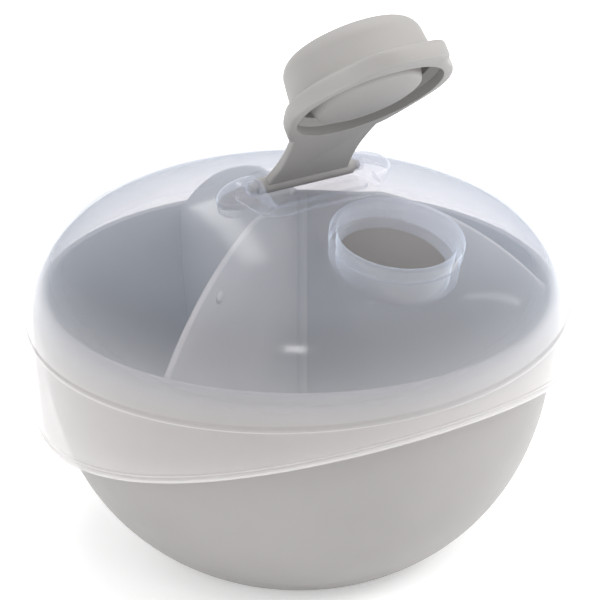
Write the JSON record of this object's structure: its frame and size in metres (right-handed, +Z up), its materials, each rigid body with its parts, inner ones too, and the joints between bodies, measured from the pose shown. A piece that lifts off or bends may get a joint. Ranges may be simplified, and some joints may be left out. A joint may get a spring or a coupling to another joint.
{
  "type": "formula dispenser",
  "caption": "Round milk powder dispenser: deep grey bowl split into compartments, translucent domed lid that turns on it, tilted pouring spout and a flip cap on a short strap.",
  "frame": {"origin": "centre of the bowl's flat foot, on the surface it stands on", "axes": "+Z up along the bowl's axis, spout towards -Y, the flip cap's hinge axis along X"},
  "size_m": [0.1204, 0.1214, 0.1294],
  "materials": {
    "bowl_grey": "satin moulded polypropylene",
    "divider_grey": "satin moulded polypropylene",
    "lid_clear": "milky translucent polypropylene",
    "cap_grey": "fine matt moulded plastic"
  },
  "bodies": {
    "base": {"bowl": "bowl_grey", "divider": "divider_grey"},
    "lid": {"lid": "lid_clear"},
    "cap": {"flip_cap": "cap_grey"}
  },
  "joints": [
    {"name": "lid_turn", "type": "hinge", "parent": "base", "child": "lid", "pos_m": [0, 0, 0.06], "axis": [0, 0, 1], "continuous": true},
    {"name": "cap_pivot", "type": "hinge", "parent": "lid", "child": "cap", "pos_m": [0, -0.0023, 0.0862], "axis": [1, 0, 0], "range_deg": [-35, 52.5]}
  ]
}
